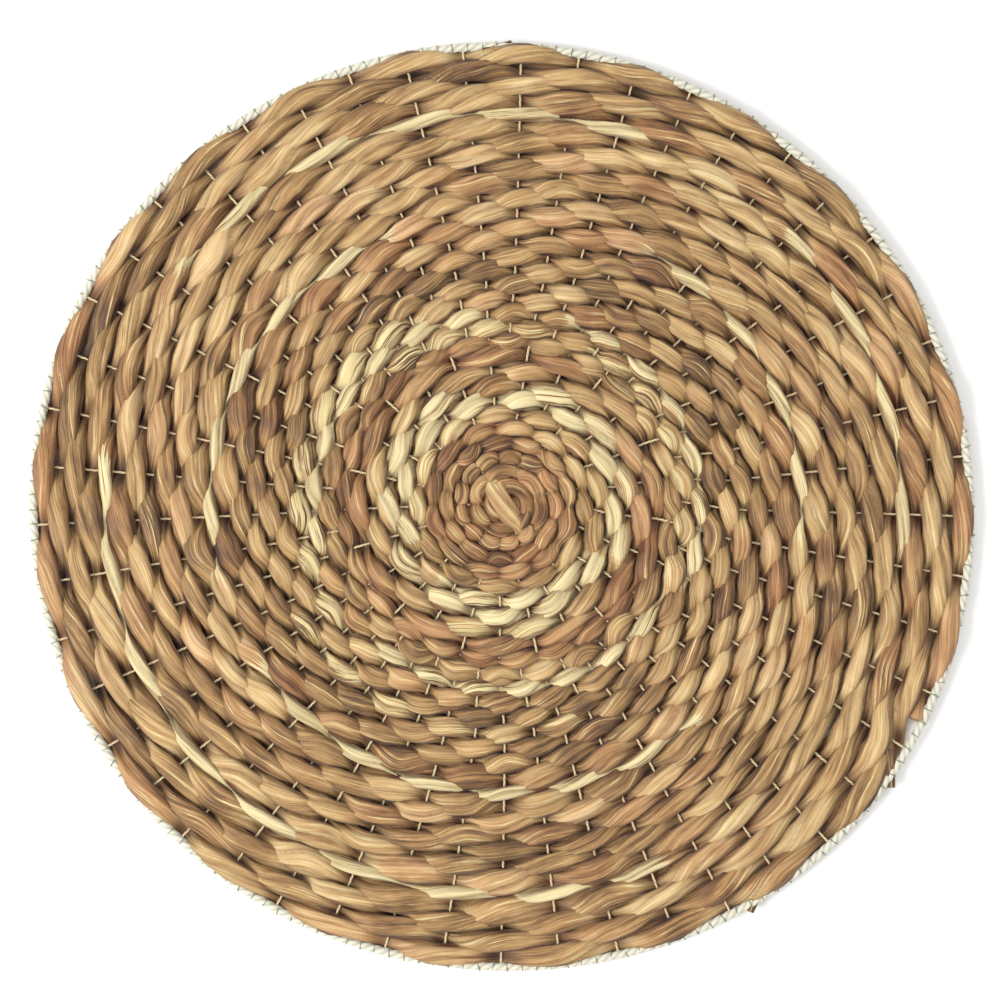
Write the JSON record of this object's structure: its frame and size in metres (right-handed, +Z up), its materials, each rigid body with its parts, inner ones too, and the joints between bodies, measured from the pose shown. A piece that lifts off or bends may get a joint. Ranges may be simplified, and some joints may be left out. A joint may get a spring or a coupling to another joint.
{
  "type": "round woven seat pad",
  "caption": "Flat round seat pad woven in one spiral from dried plant stalk over radial strings, bound round the rim with a pale cord.",
  "frame": {"origin": "centre of the pad's box, on the plane that the underside rests on", "axes": "+Z up, through the pad's thickness, out of the side that is sat on; the weave's last row ends 27 degrees below +X, turned towards -Y, with the rows running out clockwise"},
  "size_m": [0.3808, 0.3782, 0.0094],
  "materials": {
    "stalk": "dry, satin, fibrous",
    "pale_stalk": "dry, satin, fibrous",
    "warp_string": "matt twisted string",
    "edge_cord": "matt twisted cord"
  },
  "bodies": {
    "root": {"weft_turn_01": "stalk", "weft_turn_02": "stalk", "weft_turn_03": "stalk", "weft_turn_04": "stalk", "weft_turn_05": "stalk", "weft_turn_06": "pale_stalk", "weft_turn_07": "pale_stalk", "weft_turn_08": "stalk", "weft_turn_09": "stalk", "weft_turn_10": "stalk", "weft_turn_11": "stalk", "weft_turn_12": "pale_stalk", "weft_turn_13": "stalk", "weft_turn_14": "stalk", "weft_turn_15": "stalk", "weft_turn_16": "stalk", "weft_turn_17": "stalk", "weft_turn_18": "stalk", "weft_turn_19": "pale_stalk", "weft_turn_20": "stalk", "weft_turn_21": "stalk", "weft_turn_22": "stalk", "weft_turn_23": "stalk", "weft_turn_24": "stalk", "weft_turn_25": "stalk", "weft_turn_26": "pale_stalk", "weft_turn_27": "stalk", "weft_turn_28": "stalk", "weft_turn_29": "stalk", "weft_turn_30": "stalk", "warp_string_01": "warp_string", "warp_string_02": "warp_string", "warp_string_03": "warp_string", "warp_string_04": "warp_string", "warp_string_05": "warp_string", "warp_string_06": "warp_string", "warp_string_07": "warp_string", "warp_string_08": "warp_string", "warp_string_09": "warp_string", "warp_string_10": "warp_string", "warp_string_11": "warp_string", "warp_string_12": "warp_string", "warp_string_13": "warp_string", "warp_string_14": "warp_string", "warp_string_15": "warp_string", "warp_string_16": "warp_string", "warp_string_17": "warp_string", "warp_string_18": "warp_string", "warp_string_19": "warp_string", "warp_string_20": "warp_string", "warp_string_21": "warp_string", "warp_string_22": "warp_string", "warp_string_23": "warp_string", "warp_string_24": "warp_string", "warp_string_single": "warp_string", "edge_cord": "edge_cord", "centre_knot": "stalk", "centre_tail": "pale_stalk"}
  },
  "joints": []
}
